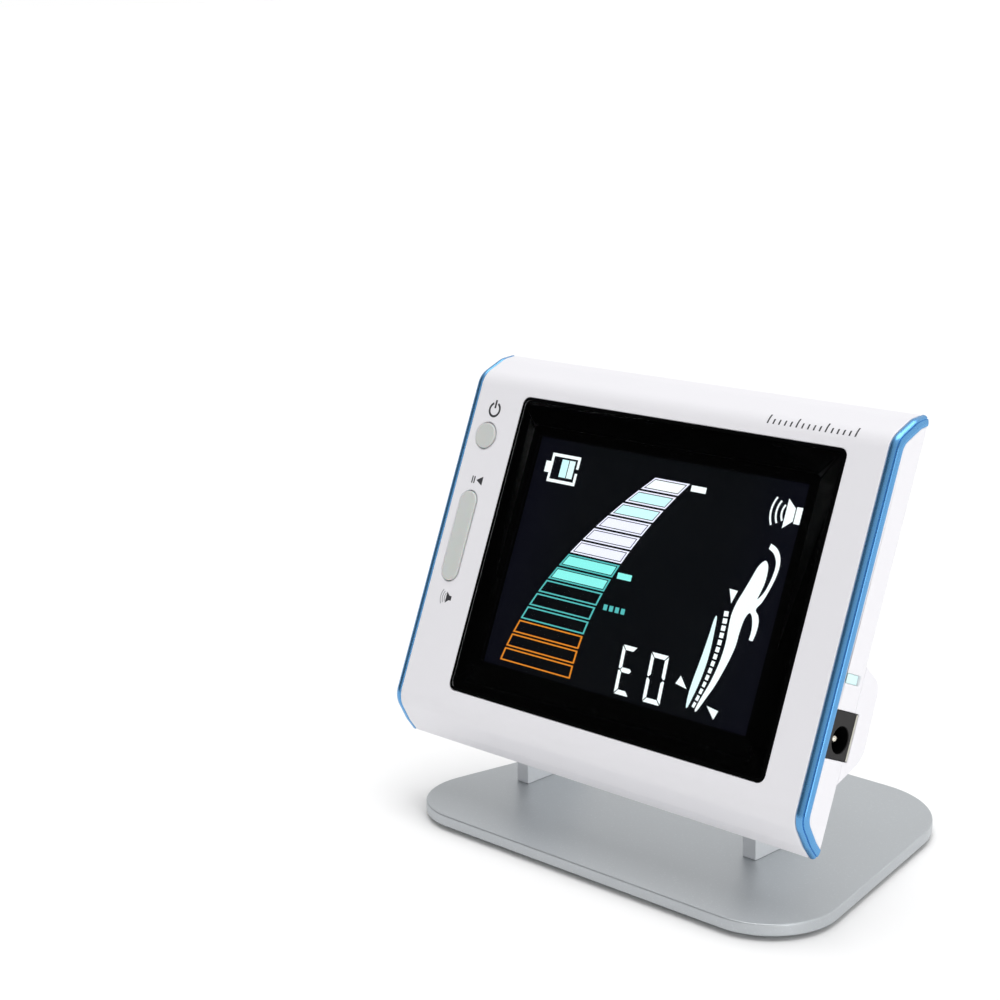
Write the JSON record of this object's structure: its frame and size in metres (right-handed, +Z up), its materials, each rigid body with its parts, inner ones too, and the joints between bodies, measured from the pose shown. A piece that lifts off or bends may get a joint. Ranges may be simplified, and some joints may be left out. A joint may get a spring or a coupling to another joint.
{
  "type": "apex locator",
  "caption": "Desktop apex locator: a wide backlit screen unit with keys and side sockets, leaning back on two upright legs and a flat metal base plate, with a friction tilt hinge.",
  "frame": {"origin": "on the standing surface, at the middle of the whole object seen from above", "axes": "+Z up, +X to the right as seen from the front, +Y to the rear; the screen faces -Y and leans back by 23 degrees"},
  "size_m": [0.134, 0.092, 0.1136],
  "materials": {
    "blasted_aluminium": "sandblasted and clear anodised, edges lightly bright",
    "pad_rubber": "matt",
    "screw_steel": "zinc plated",
    "washer_plastic": "matt",
    "casing_white": "moulded, soft gloss",
    "trim_blue": "metallic blue lacquer",
    "cover_glass": "polished",
    "mask_black": "printed black border",
    "display": "liquid crystal display, lit",
    "diffuser": "white diffuser in a frame",
    "ribbon_film": "amber film",
    "circuit_board": "green solder mask",
    "chip_black": "moulded packages",
    "switch_black": "moulded",
    "key_silicone": "translucent grey silicone",
    "socket_black": "moulded",
    "contact_metal": "plated",
    "contact_carrier": "teal moulded tongue",
    "battery_wrap": "shrink sleeve",
    "speaker_black": "moulded can with a paper cone"
  },
  "bodies": {
    "base": {"base_plate": "blasted_aluminium", "rubber_feet": "pad_rubber", "left_leg": "blasted_aluminium", "right_leg": "blasted_aluminium", "leg_screws": "screw_steel"},
    "head": {"hinge_pins": "screw_steel", "friction_washers": "washer_plastic", "front_shell": "casing_white", "rear_shell": "casing_white", "left_trim": "trim_blue", "right_trim": "trim_blue", "screen_glass": "cover_glass", "screen_mask": "mask_black", "lcd_panel": "display", "backlight": "diffuser", "lcd_ribbon": "ribbon_film", "main_board": "circuit_board", "board_chips": "chip_black", "board_screws": "screw_steel", "key_switches": "switch_black", "rocker_pivot": "screw_steel", "dc_jack": "socket_black", "dc_jack_pin": "contact_metal", "probe_socket": "socket_black", "probe_contacts": "contact_carrier", "socket_board": "circuit_board", "battery": "battery_wrap", "battery_cover": "casing_white", "battery_cover_screws": "screw_steel", "speaker": "speaker_black", "case_screws": "screw_steel"},
    "power_key": {"power_key": "key_silicone"},
    "rocker_key": {"rocker_key": "key_silicone"}
  },
  "joints": [
    {"name": "head_tilt", "type": "hinge", "parent": "base", "child": "head", "pos_m": [0, -0.01869, 0.04537], "axis": [-1, 0, 0], "range_deg": [-15, 20]},
    {"name": "power_key_press", "type": "slide", "parent": "head", "child": "power_key", "axis": [0, 0.9205, -0.3907], "range_m": [0, 0.0005], "stiffness_N_per_m": 2500, "springref_m": -0.0003},
    {"name": "rocker_key_rock", "type": "hinge", "parent": "head", "child": "rocker_key", "pos_m": [-0.0582, -0.01847, 0.06917], "axis": [1, 0, 0], "range_deg": [-2.5, 2.5], "stiffness_Nm_per_rad": 0.4}
  ]
}
